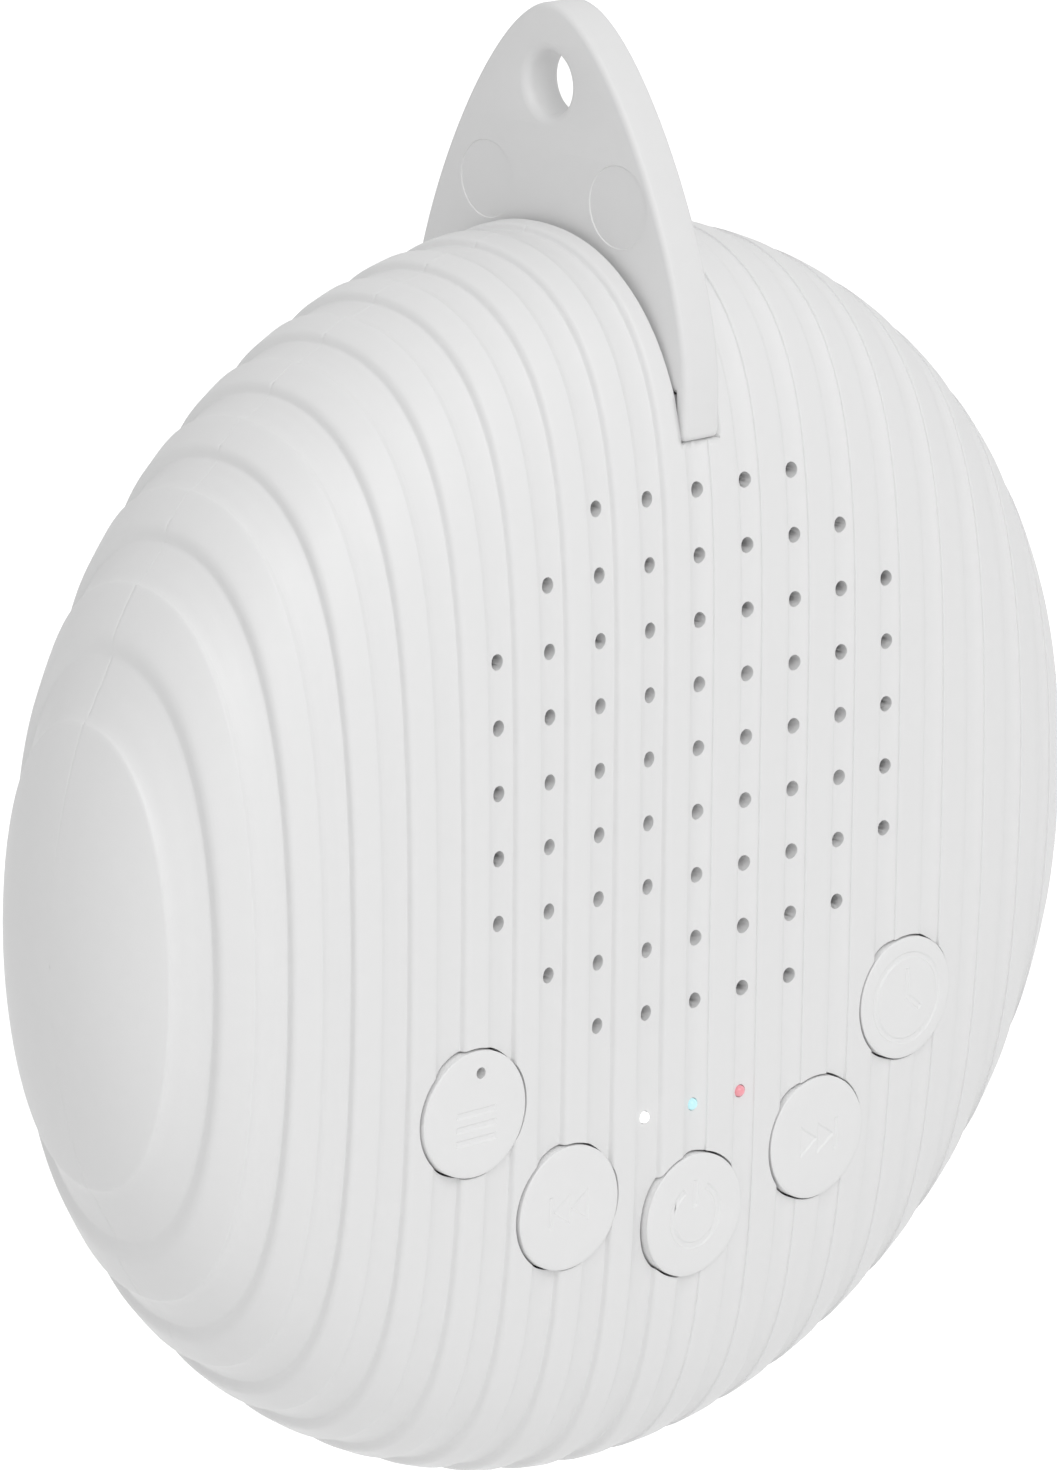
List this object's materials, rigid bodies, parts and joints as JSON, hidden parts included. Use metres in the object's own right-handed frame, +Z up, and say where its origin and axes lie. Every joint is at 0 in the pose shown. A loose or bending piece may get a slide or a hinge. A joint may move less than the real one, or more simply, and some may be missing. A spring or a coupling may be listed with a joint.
{
  "type": "white noise sound machine",
  "caption": "Round portable sound machine with a ribbed pebble body, drilled speaker grille, push buttons, indicator windows and a hanging tab.",
  "frame": {"origin": "centre of the hanging hole in the tab, at the top of the object", "axes": "+Z up towards the tab's crest, +X to the right along the hanging hole's axis, +Y to the back, with the grille and buttons facing -Y"},
  "size_m": [0.0993, 0.0335, 0.1158],
  "materials": {
    "shell_white": "satin",
    "tab_white": "matte",
    "button_white": "satin",
    "plunger_white": "satin",
    "board_green": "satin",
    "clear_plastic": "gloss",
    "light_body": "gloss",
    "chip_black": "matte",
    "socket_steel": "satin",
    "jack_black": "satin",
    "cloth_black": "matte",
    "foam_black": "matte",
    "basket_steel": "satin",
    "cone_paper": "matte",
    "coil_copper": "satin",
    "magnet_ferrite": "matte",
    "cell_foil": "satin",
    "screw_steel": "satin"
  },
  "bodies": {
    "housing": {"front_shell": "shell_white", "back_shell": "shell_white", "hang_tab": "tab_white", "main_board": "board_green", "light_guide": "clear_plastic", "indicator_lights": "light_body", "sound_chip": "chip_black", "amplifier_chip": "chip_black", "charge_socket": "socket_steel", "audio_jack": "jack_black", "grille_cloth": "cloth_black", "speaker_gasket": "foam_black", "speaker_basket": "basket_steel", "speaker_cone": "cone_paper", "dust_cap": "cone_paper", "voice_coil": "coil_copper", "top_plate": "basket_steel", "magnet": "magnet_ferrite", "yoke": "basket_steel", "battery": "cell_foil", "battery_pad": "foam_black", "shell_screws": "screw_steel", "board_screws": "screw_steel", "source_switch": "chip_black", "previous_switch": "chip_black", "power_switch": "chip_black", "next_switch": "chip_black", "timer_switch": "chip_black"},
    "source_key": {"source_button": "button_white", "source_plunger": "plunger_white"},
    "previous_key": {"previous_button": "button_white", "previous_plunger": "plunger_white"},
    "power_key": {"power_button": "button_white", "power_plunger": "plunger_white"},
    "next_key": {"next_button": "button_white", "next_plunger": "plunger_white"},
    "timer_key": {"timer_button": "button_white", "timer_plunger": "plunger_white"}
  },
  "joints": [
    {"name": "source_press", "type": "slide", "parent": "housing", "child": "source_key", "axis": [0, 1, 0], "range_m": [0, 0.0006], "stiffness_N_per_m": 3000},
    {"name": "previous_press", "type": "slide", "parent": "housing", "child": "previous_key", "axis": [0, 1, 0], "range_m": [0, 0.0006], "stiffness_N_per_m": 3000},
    {"name": "power_press", "type": "slide", "parent": "housing", "child": "power_key", "axis": [0, 1, 0], "range_m": [0, 0.0006], "stiffness_N_per_m": 3000},
    {"name": "next_press", "type": "slide", "parent": "housing", "child": "next_key", "axis": [0, 1, 0], "range_m": [0, 0.0006], "stiffness_N_per_m": 3000},
    {"name": "timer_press", "type": "slide", "parent": "housing", "child": "timer_key", "axis": [0, 1, 0], "range_m": [0, 0.0006], "stiffness_N_per_m": 3000}
  ]
}
